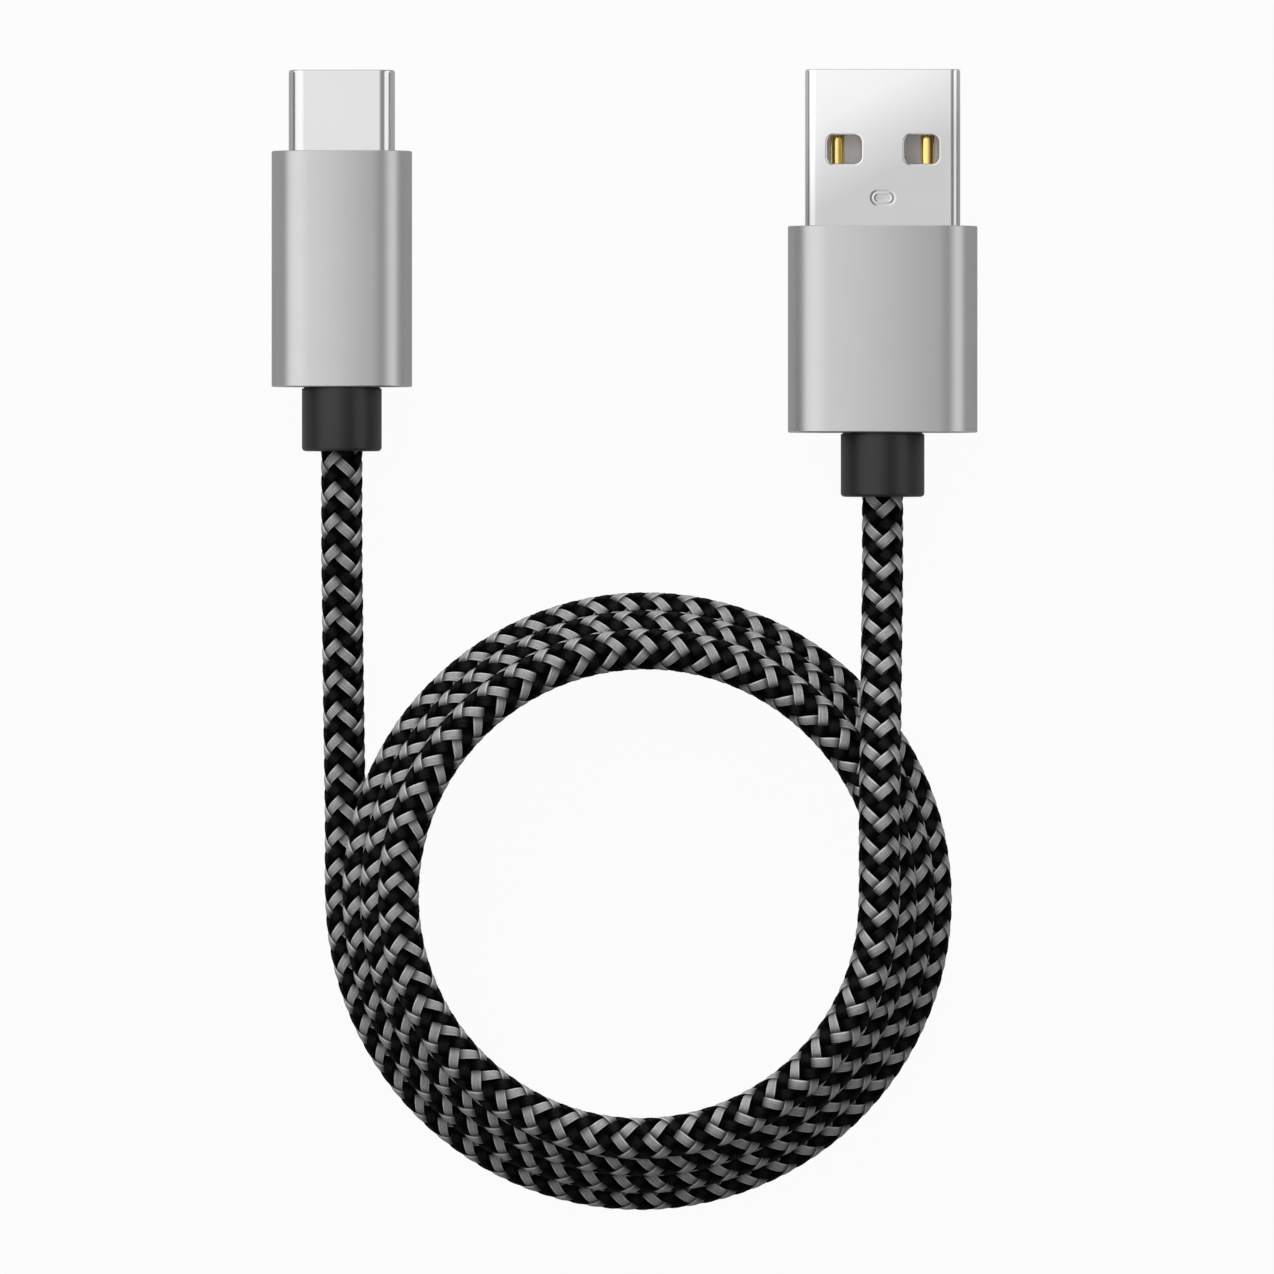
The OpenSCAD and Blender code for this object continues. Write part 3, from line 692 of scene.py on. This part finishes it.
def usb_a_shell(material):
    """Rolled steel shell: two windows with pressed rims above and below, a dimple above, a
    seam below and a rounded front rim."""
    w, h, r = A_SHELL
    t = A_SHELL_T
    lip = A_SHELL_OUT - t / 2
    reach = w / 2 - r - Outline.NEAR
    outline = Outline.rounded(w, h, r, arc=10, slit=SLIT)
    profile = [(0, -A_SHELL_IN), (0, lip)]
    profile += [(t / 2 - t / 2 * math.cos(a), lip + t / 2 * math.sin(a))
                for a in (math.pi * i / RIM_STEPS for i in range(1, RIM_STEPS + 1))]
    profile += [(t, -A_SHELL_IN)]
    rings = [outline.ring(inset, y) for inset, y in profile]
    walls = (0, len(profile) - 2)

    def is_sheet(i, j):
        """Whether a sheet with windows takes this face's place: the flats above and below."""
        a, b = outline.points[i:i + 2]
        return j in walls and abs(b[0] - a[0]) > reach / 2

    shape = Shape(A_PLACE)
    shape.loft(rings, around=False, along=True, skip=is_sheet)
    for end in (0, -1):
        shape.cap([ring[end] for ring in rings])
    for depth, sign in ((0, 1), (0, -1), (t, 1), (t, -1)):
        spans = ((-reach, reach),) if sign == 1 else ((-reach, -SLIT / 2), (SLIT / 2, reach))
        for x0, x1 in spans:
            border = [(x0, -A_SHELL_IN), (x1, -A_SHELL_IN), (x1, lip), (x0, lip)]
            offset = RIM[0][0] if depth == 0 else 0.0
            holes = [window_loop(x, offset) for x in (-WINDOW_X, WINDOW_X) if x0 < x < x1]
            if sign == 1 and depth == 0:
                holes.append(dimple_loop(DIMPLE[0][0]))
            shape.sheet(border, holes, sign * (h / 2 - depth))
    for sign in (1, -1):
        for x in (-WINDOW_X, WINDOW_X):
            shape.loft([[(px, py, sign * (h / 2 - depth)) for px, py in window_loop(x, offset)]
                        for offset, depth in RIM + ((0.0, t),)])
    rows = [[(px, py, h / 2 - depth) for px, py in dimple_loop(inset)]
            for inset, depth in DIMPLE]
    shape.loft(rows)
    shape.cap(rows[-1])
    return shape.piece("usb_a_plug_shell", material, "shell_steel", sharp=38)


# The Type-C shell: width and height, its wall, its reach out of the housing and into it
C_SHELL = (8.25, 2.4)
C_SHELL_T, C_SHELL_OUT, C_SHELL_IN = 0.2, 6.3, 4.0
# Its front rim: inset, length and steps of the outer round, and inset and length within
C_RIM_W, C_RIM_L, C_RIM_STEPS, C_LIP_W, C_LIP_L = 0.15, 0.25, 5, 0.02, 0.08


def usb_c_shell(material):
    """Seamless drawn shell with a round front rim."""
    w, h = C_SHELL
    t, out, back = C_SHELL_T, C_SHELL_OUT, -C_SHELL_IN
    outline = Outline.rounded(w, h, h / 2, arc=14)
    profile = [(0, back), (0, out - C_RIM_L)]
    profile += [(C_RIM_W - C_RIM_W * math.cos(a), out - C_RIM_L + C_RIM_L * math.sin(a))
                for a in (math.pi / 2 * i / C_RIM_STEPS for i in range(1, C_RIM_STEPS + 1))]
    profile += [(t - C_LIP_W, out - C_LIP_W), (t, out - C_LIP_L), (t, back)]
    shape = Shape(C_PLACE)
    shape.loft([outline.ring(inset, y) for inset, y in profile], along=True)
    return shape.piece("usb_c_plug_shell", material, "shell_steel", sharp=38)


# A Type-A contact: half its width, its top and underside, and its back end
CONTACT_HALF, CONTACT_TOP, CONTACT_BOTTOM, CONTACT_BACK = 0.6, 0.12, -0.25, -8
# The arc across its top: height, and share of it (squared) that the width takes
CONTACT_CROWN, CONTACT_SHARE = 0.30, 0.96
# Its tip: distance back from the end, how far it bends down, and the share of its width
CONTACT_TIP = ((0.8, 0, 1), (0.45, 0.02, 1), (0.2, 0.06, 0.97), (0.06, 0.12, 0.9),
               (0, 0.19, 0.8))
# Name of each, its place across and its front end
A_CONTACTS = (("vbus", -3.5, 10.9), ("d_minus", -1.0, 9.9), ("d_plus", 1.0, 9.9),
              ("gnd", 3.5, 10.9))


def usb_a_contact(name, x, front, material):
    """A stamped spring contact: crowned across its width, and bent down at its tip."""
    section = [(-CONTACT_HALF, CONTACT_BOTTOM)]
    section += [(CONTACT_HALF * v,
                 CONTACT_TOP - CONTACT_CROWN * (1 - math.sqrt(1 - CONTACT_SHARE * v * v)))
                for v in (i / 10 for i in range(-10, 11))]
    section += [(CONTACT_HALF, CONTACT_BOTTOM)]
    places = [(CONTACT_BACK, 0, 1)]
    places += [(front - back, drop, share) for back, drop, share in CONTACT_TIP]
    rows = [[(x + px * share, y, max(pz - drop, CONTACT_BOTTOM)) for px, pz in section]
            for y, drop, share in places]
    shape = Shape(A_PLACE)
    shape.loft(rows)
    shape.cap(rows[0])
    shape.cap(rows[-1])
    return shape.piece(name, material, "contact_gold", sharp=45)


# ---------------------------------------------------------------- braid

# How far a strand rises and falls, and the height of its face and depth of its underside
LIFT, CROWN, BELLY = 0.09, 0.085, 0.08
GREY_W, BLACK_W = 0.76, 0.86
# A strand's section: place across, from -1 to 1 over its width, and height
SECTION = [(-1.0, -0.01), (-0.88, 0.048), (-0.45, 0.078), (0.0, CROWN), (0.45, 0.078),
           (0.88, 0.048), (1.0, -0.01), (0.5, -BELLY), (-0.5, -BELLY)]
# Strands that wind each way, and the angle from one to the next
STRANDS = 8
STRAND_TURN = 2 * math.pi / STRANDS
STRAND_SLOPE = math.atan(2 * math.pi * BRAID_R / LAY)
# Turn of the braid around the cord at the two plugs, and its place along the cord
TURN_C, TURN_A, BRAID_START = math.radians(21.5), math.radians(-0.6), 0.4
# How sharply a strand dives under the others, how far a float leans over, and how far the
# braid goes into the plugs
DIVE, LEAN, TUCKED = 1.9, 0.045, 1.2
# Middle of the floats around the cord, for strands that wind to the right and to the left
FLOAT_AT = {1: math.radians(11.25), -1: math.radians(56.25)}
# Sets the yarn's noise on one strand apart from the next one's
YARN_APART = 37.0
# Layout for baking, one cell for each wave: cells in a row, where the rings start along a
# cell and their length, the section's points across it, and the middle and half size of caps
BAKE_COLUMNS, BAKE_FROM, BAKE_L = 12, 0.03, 0.92
BAKE_ACROSS = (0.06, 0.12, 0.26, 0.40, 0.54, 0.68, 0.74, 0.81, 0.87, 0.94)
BAKE_CAP, BAKE_CAP_HALF = (0.97, 0.5), (0.01, 0.2)
# The jacket: the route's steps between its rings, its sides, and its reach into the strands
JACKET_EVERY, JACKET_SIDES, JACKET_REACH = 6, 12, 0.01


class Strands:
    """Strands of the braid, gathered into one piece."""

    def __init__(self, way):
        self.way = way
        self.points, self.faces, self.lifts = [], [], []
        self.strand_uv, self.bake_cells = [], []
        self.count, self.waves = 0, 0

    def add(self, index, s_from, waves, width):
        """A length of one strand, made of whole waves and cut off inside the plugs."""
        lay = s_from + STEP * np.arange(waves * WAVE_RINGS + 1)
        s = route.from_lay(lay)
        keep = (s > -TUCKED) & (s < route.length + TUCKED)
        wave_of = (np.arange(len(s)) // WAVE_RINGS)[keep]
        ring_of = (np.arange(len(s)) % WAVE_RINGS)[keep]
        s, lay = s[keep], lay[keep]
        if len(s) < 2:
            return
        turn = TURN_C + (TURN_A - TURN_C) * np.clip(s / route.length, 0, 1)
        around = index * STRAND_TURN + self.way * 2 * math.pi * (lay - BRAID_START) / LAY
        phase = WAVES * (around - FLOAT_AT[self.way])
        lift = np.tanh(DIVE * np.cos(phase)) / math.tanh(DIVE)
        across = np.array([v for v, _ in SECTION])[None, :] * width / 2
        rise = np.array([z for _, z in SECTION])[None, :]
        angle = ((turn + around + LEAN * np.sin(phase))[:, None]
                 + across * math.cos(STRAND_SLOPE) / BRAID_R)
        place = s[:, None] - self.way * across * math.sin(STRAND_SLOPE)
        radius = BRAID_R + LIFT * lift[:, None] + rise + route.bulge(place, angle)
        self.points.append(route.surface(place, angle, radius).reshape(-1, 3))
        sides, first = len(SECTION), self.count
        # The float's height along its wave, over which the yarn paints shade where the strand
        # dives
        self.lifts.append(np.repeat(0.5 + 0.5 * np.cos(phase), sides))
        for i in range(len(s) - 1):
            cell, column = self.waves + wave_of[i], ring_of[i]
            u0, u1 = s[i] + index * YARN_APART, s[i + 1] + index * YARN_APART
            for k in range(sides):
                a, b = first + i * sides + k, first + i * sides + (k + 1) % sides
                self.faces.append((a, b, b + sides, a + sides))
                self.bake_cells.append((cell, column, k))
                v0, v1 = SECTION[k][0], SECTION[(k + 1) % sides][0]
                self.strand_uv += [(u0, v0), (u0, v1), (u1, v1), (u1, v0)]
        for ring, turned in ((0, -1), (len(s) - 1, 1)):
            cap = [first + ring * sides + k for k in range(sides)][::turned]
            self.faces.append(cap)
            self.bake_cells.append((self.waves, -1, 0))
            self.strand_uv += [(s[0], 0.0)] * sides
        self.count += len(s) * sides
        self.waves += waves

    def bake_uv(self):
        """Places in the layout for baking. A column below 0 stands for an end's cap."""
        rows = math.ceil(self.waves / BAKE_COLUMNS)
        (cap_x, cap_y), (half_x, half_y) = BAKE_CAP, BAKE_CAP_HALF
        values = []
        for (cell, column, k), face in zip(self.bake_cells, self.faces):
            row, place = divmod(cell, BAKE_COLUMNS)
            if column < 0:
                for corner in range(len(face)):
                    turn = 2 * math.pi * corner / len(face)
                    values.append(((place + cap_x + half_x * math.cos(turn)) / BAKE_COLUMNS,
                                   (row + cap_y + half_y * math.sin(turn)) / rows))
                continue
            left, right = ((place + BAKE_FROM + BAKE_L * (column + j) / WAVE_RINGS)
                           / BAKE_COLUMNS for j in (0, 1))
            low, high = ((row + BAKE_ACROSS[k + j]) / rows for j in (0, 1))
            values += [(left, low), (left, high), (right, high), (right, low)]
        return values

    def piece(self, name, material):
        mesh = mesh_of(name, np.vstack(self.points), self.faces)
        for title, values in (("OFBake", self.bake_uv()), ("Strand", self.strand_uv)):
            layer = mesh.uv_layers.new(name=title)
            layer.data.foreach_set("uv", np.array(values, np.float32).ravel())
        lift = mesh.attributes.new("lift", "FLOAT", "POINT")
        lift.data.foreach_set("value", np.concatenate(self.lifts).astype(np.float32))
        return add_piece(name, mesh, material)


def braid_pieces(grey_yarn, black_yarn):
    """Two pieces for each winding sense: its grey floats and its black ones. Strands that
    wind to the left keep one colour, and those to the right change it with each wave."""
    made = []
    for way, side in ((1, "right"), (-1, "left")):
        greys, blacks = Strands(way), Strands(way)
        for index in range(STRANDS):
            # A wave goes from the lowest place of the strand to the next one
            low = FLOAT_AT[way] - math.pi / WAVES - index * STRAND_TURN
            start = way * low * LAY / (2 * math.pi) + BRAID_START
            first = math.floor(-start / WAVE_L)
            waves = math.ceil((route.lay[-1] - start) / WAVE_L) - first
            start += first * WAVE_L
            if way == -1:
                group, width = (greys, GREY_W) if index % 2 == 0 else (blacks, BLACK_W)
                group.add(index, start, waves, width)
                continue
            for wave in range(waves):
                is_grey = (index + first + wave) % 2 == 0
                group, width = (greys, GREY_W) if is_grey else (blacks, BLACK_W)
                group.add(index, start + wave * WAVE_L, 1, width)
        made.append(greys.piece("braid_grey_" + side, grey_yarn))
        made.append(blacks.piece("braid_black_" + side, black_yarn))
    return made


def jacket_mesh():
    """The black jacket under the braid, with the points that it follows."""
    last, sides = len(route.s) - 1, JACKET_SIDES
    keep = np.append(np.arange(0, last, JACKET_EVERY), last)
    angle = np.arange(sides) * 2 * math.pi / sides
    s = route.s[keep][:, None] + 0 * angle
    radius = np.full_like(s, BRAID_R - LIFT - BELLY + JACKET_REACH)
    points = route.surface(s, angle + 0 * s, radius)
    faces = [(i * sides + k, i * sides + (k + 1) % sides, (i + 1) * sides + (k + 1) % sides,
              (i + 1) * sides + k) for i in range(len(keep) - 1) for k in range(sides)]
    faces.append(list(range(sides))[::-1])
    faces.append([(len(keep) - 1) * sides + k for k in range(sides)])
    return mesh_of("cord_jacket", points.reshape(-1, 3), faces), route.centre[keep]


# ---------------------------------------------------------------- materials

# Where a painted highlight, a lighter grey, lies along a strand's edges, over the half width
EDGE_HIGHLIGHT = ((0.70, 0.0), (0.77, 1.0), (0.86, 1.0), (0.93, 0.0))
# Scratches of drawn metal are long along y. A cut edge is this much smoother.
DRAWN, EDGE_SMOOTHER = (9.0, 0.6, 9.0), 0.12


def yarn(name, dark, light, edge_highlight, specular, painted_shade):
    """Braid yarn: fibres from dark to light along the strand, a painted highlight of its own grey
    near the edges, and painted shade over the strand's height: dark where it dives and lightest
    in the middle of a float, which gives black yarn a painted sheen there."""
    material, n = new_material(name)
    uv = n.add("UVMap", uv_map="Strand").outputs[0]
    fibres = n.noise(n.scaled(uv, (0.5, 3.2, 1)), scale=2.2, detail=3.0, roughness=0.6)
    fleck = n.noise(n.scaled(uv, (2.0, 2.5, 1)), scale=1.6, detail=2.0, roughness=0.5)
    tone = n.ramp(n.average(fibres, fleck, 0.7), (0.3, 0.0), (0.7, 1.0))
    colour = n.mix(tone, grey(dark), grey(light))
    # Painted highlight: a grey of its own near both edges of the strand
    out = n.math("ABSOLUTE", n.parts(uv)["Y"])
    colour = n.mix(n.ramp(out, *EDGE_HIGHLIGHT), colour, grey(edge_highlight))
    # Painted shade: darker towards a float's ends, where the strand dives under the others
    height = n.add("Attribute", attribute_name="lift").outputs["Fac"]
    colour = n.mix(1, colour, n.ramp(height, *painted_shade), "MULTIPLY")
    rough = n.around(fibres, middle=0.555, spread=0.25)
    n.principled(colour, rough, n.bump(fibres, strength=0.5, distance=0.03 * MM),
                 specular=specular)
    return material


def object_mm(n):
    """Texture coordinates in millimetres."""
    return n.scaled(n.add("TexCoord").outputs["Object"], (1000, 1000, 1000))


def tones(colour, spread):
    """A darker and a lighter tone of a colour."""
    return [tuple(min(c * (1 + way * spread), 1) for c in colour) + (1,) for way in (-1, 1)]


def metal(name, colour, roughness, grain=0.0, edge=None, scratch=0.0, tone=0.05, painted_reflection=None):
    """Metal with a slight cloud in its colour, bead-blasted grain or drawn scratches, and
    smoother cut edges of their own grey where the piece marks them. A painted reflection of ((x,
    y), start, stops) darkens the colour along a slanting line, painting the fall of the studio's
    reflection and shade: the stops lie at start plus x and y times the place in millimetres."""
    material, n = new_material(name)
    mm = object_mm(n)
    cloud = n.noise(mm, scale=0.35, detail=3.0, roughness=0.6)
    texture, scale = (n.scaled(mm, DRAWN), 2.2) if scratch else (mm, 11.0)
    fine = n.noise(texture, scale, detail=3.0, roughness=0.65)
    mixed = n.ramp(n.average(cloud, fine, 0.5), (0.35, 0.0), (0.65, 1.0))
    shade = n.mix(mixed, *tones(colour, tone))
    rough = n.around(fine, roughness, spread=0.10)
    # Painted reflection and shade: the colour is multiplied darker along a slanting line
    if painted_reflection is not None:
        (x, y), start, stops = painted_reflection
        at = n.parts(mm)
        place = n.math("MULTIPLY_ADD", at["X"], x, start)
        place = n.math("MULTIPLY_ADD", at["Y"], y, place, clamp=True)
        shade = n.mix(1, shade, n.ramp(place, *stops), "MULTIPLY")
    if edge is not None:
        mark = n.add("Attribute", attribute_name="edge").outputs["Fac"]
        shade = n.mix(mark, shade, grey(edge))
        rough = n.math("MULTIPLY_ADD", mark, -EDGE_SMOOTHER, rough)
    n.principled(shade, rough, n.bump(fine, grain or scratch, distance=0.01 * MM), metallic=1)
    return material


def plastic(name, colour, roughness, specular=0.5, grain=0.15, scale=9.0, tone=0.12):
    """Moulded plastic or rubber: a fine spark-eroded texture and a slight cloud."""
    material, n = new_material(name)
    mm = object_mm(n)
    fine = n.noise(mm, scale, detail=3.0, roughness=0.6)
    cloud = n.noise(mm, scale=0.6, detail=2.0, roughness=0.5)
    mixed = n.ramp(n.average(fine, cloud, 0.4), (0.3, 0.0), (0.7, 1.0))
    rough = n.around(fine, roughness, spread=0.12)
    n.principled(n.mix(mixed, *tones(colour, tone)), rough,
                 n.bump(fine, grain, distance=0.02 * MM), specular=specular)
    return material


aluminium = metal("housing_aluminium", (0.575, 0.575, 0.575), 0.36, grain=0.35, edge=0.7,
                  tone=0.02)
# The Type-A shell's colour carries a painted reflection: lightest at its tip's left corner, and
# darker towards the housing as painted shade
PAINTED_REFLECTION_X, PAINTED_REFLECTION_Y = -0.55 / A_SHELL[0], 1 / A_SHELL_OUT
PAINTED_REFLECTION_START = -PAINTED_REFLECTION_Y * A_FRONT_Y - PAINTED_REFLECTION_X * (A_X - A_SHELL[0] / 2)
usb_a_steel = metal("usb_a_shell_steel", (0.95, 0.95, 0.955), 0.14, scratch=0.05, tone=0.012,
                    painted_reflection=((PAINTED_REFLECTION_X, PAINTED_REFLECTION_Y), PAINTED_REFLECTION_START,
                          ((0.05, 0.655), (0.3, 0.785), (0.6, 0.945), (1.0, 1.0))))
usb_c_steel = metal("usb_c_shell_steel", (0.735, 0.735, 0.74), 0.14, scratch=0.05, tone=0.012)
spring = metal("spring_steel", (0.62, 0.62, 0.64), 0.24, scratch=0.1)
can_steel = metal("can_steel", (0.5, 0.5, 0.51), 0.34, scratch=0.15)
gold = metal("contact_gold", (1.0, 0.72, 0.26), 0.12, scratch=0.05)
rubber = plastic("relief_rubber", (0.007, 0.007, 0.007), 0.38, grain=0.25)
black_mould = plastic("mould_plastic", (0.012, 0.012, 0.013), 0.45)
white_plastic = plastic("insulator_white", (0.91, 0.89, 0.89), 0.35, grain=0.05, tone=0.03)
black_plastic = plastic("insulator_black", (0.010, 0.010, 0.011), 0.35)
board_green = plastic("board_green", (0.01, 0.10, 0.03), 0.3, scale=2.5, tone=0.3)
resistor_black = plastic("resistor_black", (0.015, 0.015, 0.017), 0.5)
wires = {shade: plastic("wire_" + shade, colour, 0.35, grain=0.05, tone=0.06)
         for shade, colour in (("red", (0.45, 0.012, 0.012)), ("white", (0.8, 0.8, 0.78)),
                               ("green", (0.02, 0.25, 0.06)), ("black", (0.012, 0.012, 0.012)))}
# The CAD's own solids that stay
NODE_MATERIALS = {
    "usb_a_insulator": white_plastic, "usb_a_shield_can": can_steel,
    "usb_a_inner_mould": black_mould, "usb_a_cord_end": rubber,
    "usb_c_insulator": black_plastic, "usb_c_contacts_upper": gold,
    "usb_c_contacts_lower": gold, "usb_c_ground_spring_upper": spring,
    "usb_c_ground_spring_lower": spring, "usb_c_latch_left": spring,
    "usb_c_latch_right": spring, "usb_c_circuit_board": board_green,
    "usb_c_resistor": resistor_black, "usb_c_shield_can": can_steel,
    "usb_c_inner_mould": black_mould, "usb_c_cord_end": rubber,
}
for plug in ("usb_a", "usb_c"):
    for wire, shade in (("vbus", "red"), ("d_minus", "white"), ("d_plus", "green"),
                        ("gnd", "black")):
        NODE_MATERIALS[plug + "_wire_" + wire] = wires[shade]
for node, material in NODE_MATERIALS.items():
    for material_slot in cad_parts[node].material_slots:
        material_slot.material = material


# ---------------------------------------------------------------- the cable

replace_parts(housing_piece("usb_a_plug_housing", A_PLACE, A_HOUSING, aluminium),
            "usb_a_housing")
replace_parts(housing_piece("usb_c_plug_housing", C_PLACE, C_HOUSING, aluminium),
            "usb_c_housing")
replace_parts(relief_piece("usb_a_plug_strain_relief", A_PLACE, A_HOUSING[2], A_RELIEF_D, rubber),
            "usb_a_strain_relief")
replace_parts(relief_piece("usb_c_plug_strain_relief", C_PLACE, C_HOUSING[2], C_RELIEF_D, rubber),
            "usb_c_strain_relief")
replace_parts(usb_a_shell(usb_a_steel), "usb_a_shell")
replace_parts(usb_c_shell(usb_c_steel), "usb_c_shell")
for wire, x, front in A_CONTACTS:
    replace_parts(usb_a_contact("usb_a_plug_contact_" + wire, x, front, gold),
                "usb_a_contact_" + wire)

# Each yarn: dark, light, the painted edge highlight's grey, specular, and painted shade along a
# float, dark at its ends and lightest in its middle, a painted sheen on the black floats
grey_yarn = yarn("grey_yarn", 0.19, 0.48, 0.63, 0.2,
                 ((0.5, 0.05), (0.66, 0.25), (0.80, 0.65), (0.93, 1.0)))
black_yarn = yarn("black_yarn", 0.002, 0.022, 0.006, 0.01,
                  ((0.6, 0.03), (0.85, 0.2), (1.0, 1.0)))
jacket, jacket_path = jacket_mesh()
cord = add_piece("cord_jacket", jacket,
                 plastic("cord_jacket", (0.003, 0.003, 0.003), 0.5, specular=0.1))
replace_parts(cord, "cord_coil", "cord_lead_usb_a", "cord_lead_usb_c")
braids = braid_pieces(grey_yarn, black_yarn)
